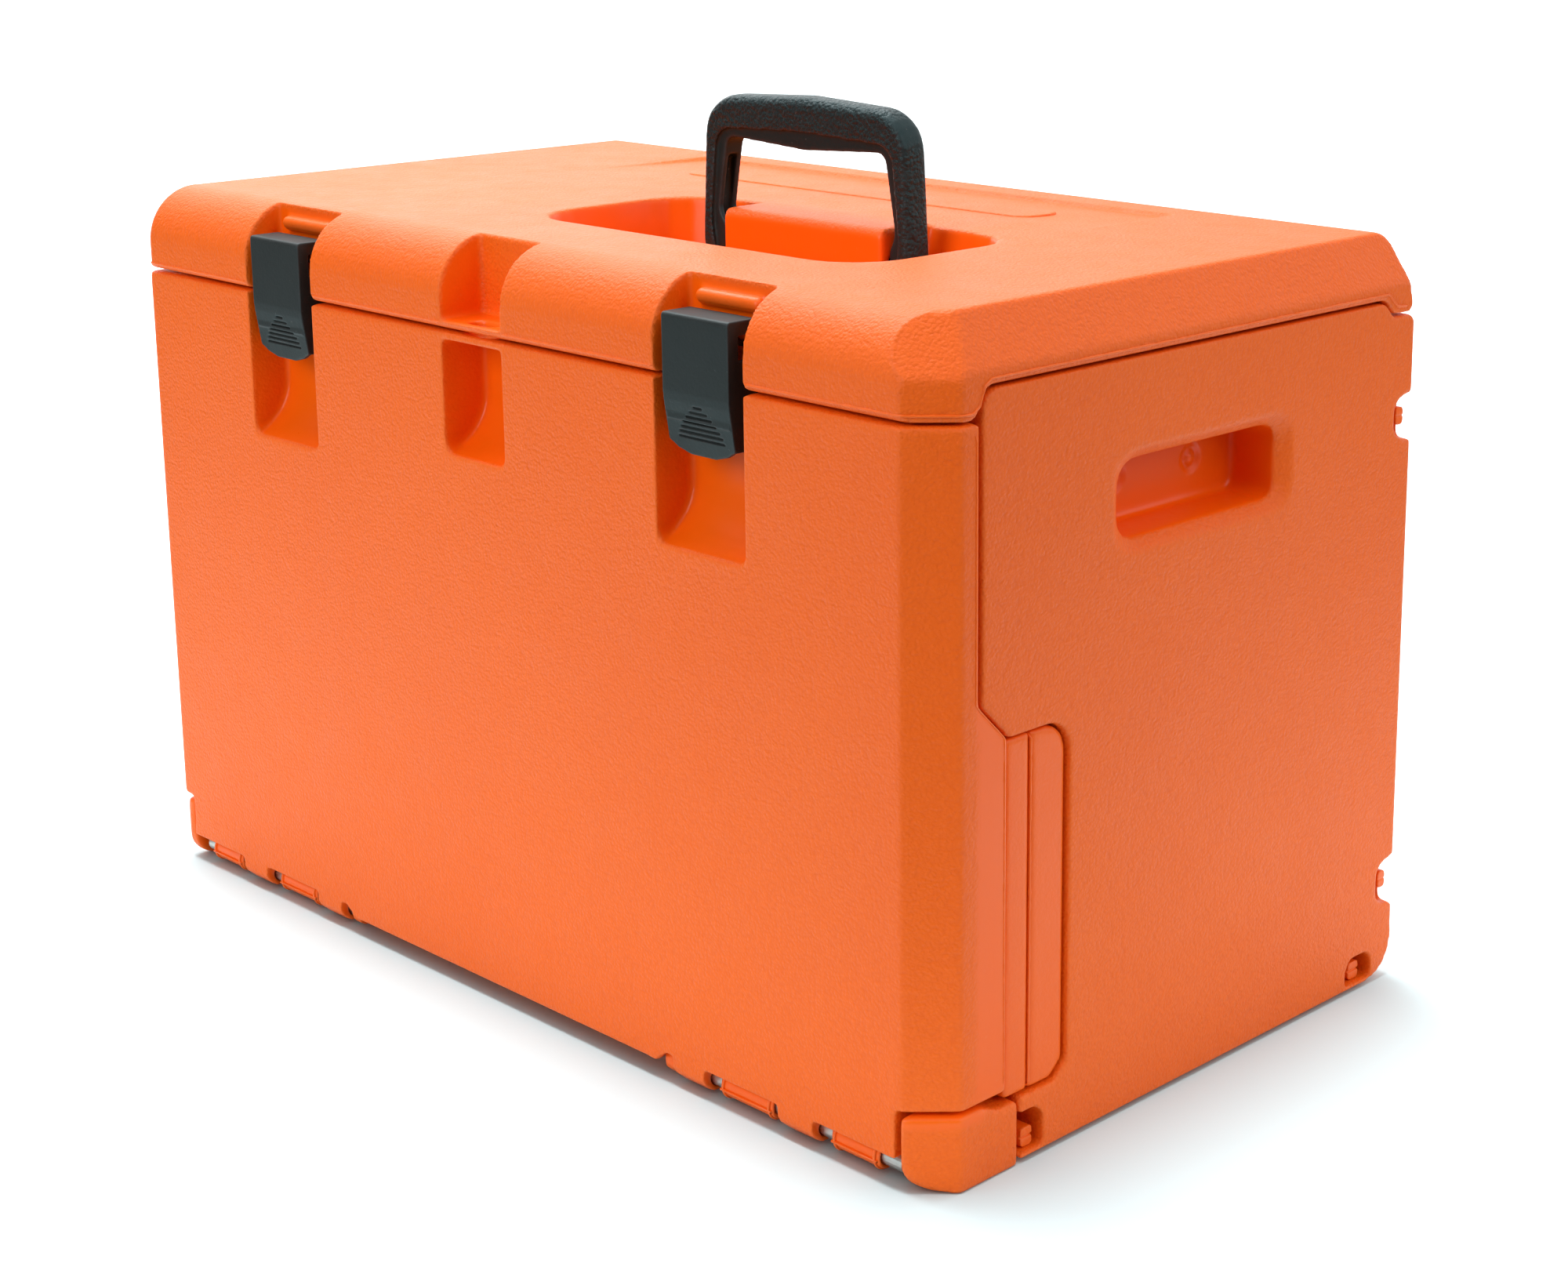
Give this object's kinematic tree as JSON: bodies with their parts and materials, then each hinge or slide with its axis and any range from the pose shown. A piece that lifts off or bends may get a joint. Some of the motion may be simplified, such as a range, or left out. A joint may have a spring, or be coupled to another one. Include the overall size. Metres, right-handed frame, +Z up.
{
  "type": "power tool carrying case",
  "caption": "Moulded plastic carrying case for a power tool, with a rear-hinged lid, snap latches, a folding handle, grab pockets in its ends and a bar cover that slides out of one end.",
  "frame": {"origin": "on the floor, midway between the two latches and midway between front and back; the right end reaches 12 mm further than the left", "axes": "+X along the case's length to the end that the bar cover slides out of, +Y from the latches to the hinges, +Z up"},
  "size_m": [0.508, 0.292, 0.3805],
  "materials": {
    "orange_plastic": "fine pebble grain, semi-matt",
    "black_plastic": "satin, leather grain on the handle",
    "steel": "zinc plated rod"
  },
  "bodies": {
    "case": {"base_panel": "orange_plastic", "front_panel": "orange_plastic", "rear_panel": "orange_plastic", "right_end_panel": "orange_plastic", "left_end_panel": "orange_plastic", "peg_right_back_1": "orange_plastic", "peg_right_back_2": "orange_plastic", "peg_right_bottom_1": "orange_plastic", "peg_right_bottom_2": "orange_plastic", "peg_left_back_1": "orange_plastic", "peg_left_back_2": "orange_plastic", "peg_left_bottom_1": "orange_plastic", "peg_left_bottom_2": "orange_plastic", "front_rod_right": "steel", "front_rod_left": "steel", "rear_rod_right": "steel", "rear_rod_left": "steel", "lid_hinge_rod_right": "steel", "lid_hinge_rod_left": "steel"},
    "lid_body": {"lid": "orange_plastic"},
    "handle_body": {"carry_handle": "black_plastic"},
    "latch_right_body": {"latch_right": "black_plastic"},
    "latch_left_body": {"latch_left": "black_plastic"},
    "scabbard_body": {"scabbard_front_half": "orange_plastic", "scabbard_rear_half": "orange_plastic"}
  },
  "joints": [
    {"name": "lid_hinge", "type": "hinge", "parent": "case", "child": "lid_body", "pos_m": [0, 0.1415, 0.2953], "axis": [-1, 0, 0], "range_deg": [0, 100]},
    {"name": "handle_fold", "type": "hinge", "parent": "lid_body", "child": "handle_body", "pos_m": [0.051, 0, 0.314], "axis": [1, 0, 0], "range_deg": [0, 88]},
    {"name": "latch_right_pivot", "type": "hinge", "parent": "lid_body", "child": "latch_right_body", "pos_m": [0.139, -0.134, 0.3095], "axis": [-1, 0, 0], "range_deg": [0, 75]},
    {"name": "latch_left_pivot", "type": "hinge", "parent": "lid_body", "child": "latch_left_body", "pos_m": [-0.139, -0.134, 0.3095], "axis": [-1, 0, 0], "range_deg": [0, 75]},
    {"name": "scabbard_slide", "type": "slide", "parent": "case", "child": "scabbard_body", "axis": [1, 0, 0], "range_m": [0, 0.4]}
  ]
}
